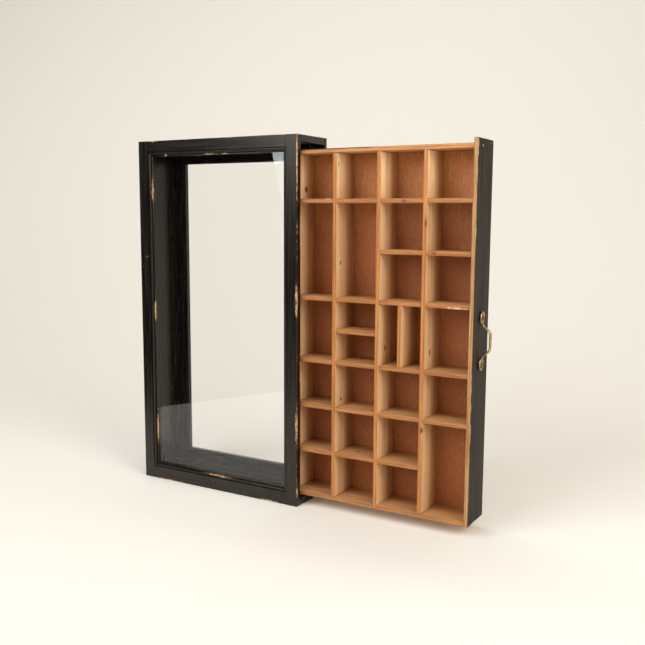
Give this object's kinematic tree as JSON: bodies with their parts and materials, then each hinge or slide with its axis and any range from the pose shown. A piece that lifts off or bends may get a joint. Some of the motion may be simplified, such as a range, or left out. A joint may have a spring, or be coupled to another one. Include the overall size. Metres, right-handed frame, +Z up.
{
  "type": "wall display cabinet",
  "caption": "Glazed, open-backed wooden display case on a flat base, with a compartment tray that slides out of its right end by a bow pull.",
  "frame": {"origin": "middle of the case's underside", "axes": "+X is the way the tray slides out, the glass faces -Y, +Z is up"},
  "size_m": [0.6314, 0.0926, 0.6],
  "materials": {
    "black_paint": "satin black paint, brushed on and rubbed through to bare pine on the arrises",
    "window_glass": "clear flat window glass",
    "pine": "honey-coloured pine, planed and thinly oiled",
    "end_board_paint": "black paint on the outer face, bare pine on the front edge",
    "stained_plywood": "thin plywood stained reddish brown",
    "antique_brass": "cast brass with a dark patina in its hollows"
  },
  "bodies": {
    "case": {"case_top_board": "black_paint", "case_bottom_board": "black_paint", "case_left_side": "black_paint", "front_stile_left": "black_paint", "front_stile_right": "black_paint", "front_rail_top": "black_paint", "front_rail_bottom": "black_paint", "front_moulding_left": "black_paint", "front_moulding_right": "black_paint", "front_moulding_top": "black_paint", "front_moulding_bottom": "black_paint", "glass_pane": "window_glass", "glazing_strip_left": "black_paint", "glazing_strip_right": "black_paint", "glazing_strip_top": "black_paint", "glazing_strip_bottom": "black_paint", "back_stile_left": "black_paint", "back_stile_right": "black_paint", "back_rail_top": "black_paint", "back_rail_bottom": "black_paint", "runner_front": "pine", "runner_rear": "pine", "kicker_front": "black_paint", "kicker_rear": "black_paint"},
    "tray": {"tray_bottom_board": "pine", "tray_top_board": "pine", "tray_left_board": "pine", "tray_end_board": "end_board_paint", "tray_back_panel": "stained_plywood", "tray_divider_1": "pine", "tray_divider_2": "pine", "tray_divider_3": "pine", "divider_short": "pine", "shelf_mid_col2": "pine", "shelf_col1_row1": "pine", "shelf_col1_row3": "pine", "shelf_col1_row4": "pine", "shelf_col1_row5": "pine", "shelf_col1_row6": "pine", "shelf_col2_row1": "pine", "shelf_col2_row3": "pine", "shelf_col2_row4": "pine", "shelf_col2_row5": "pine", "shelf_col2_row6": "pine", "shelf_col3_row1": "pine", "shelf_col3_row2": "pine", "shelf_col3_row3": "pine", "shelf_col3_row4": "pine", "shelf_col3_row5": "pine", "shelf_col3_row6": "pine", "shelf_col4_row1": "pine", "shelf_col4_row2": "pine", "shelf_col4_row3": "pine", "shelf_col4_row4": "pine", "shelf_col4_row5": "pine", "pull_handle": "antique_brass"}
  },
  "joints": [
    {"name": "tray_slide", "type": "slide", "parent": "case", "child": "tray", "axis": [1, 0, 0], "range_m": [-0.2885, 0.004]}
  ]
}
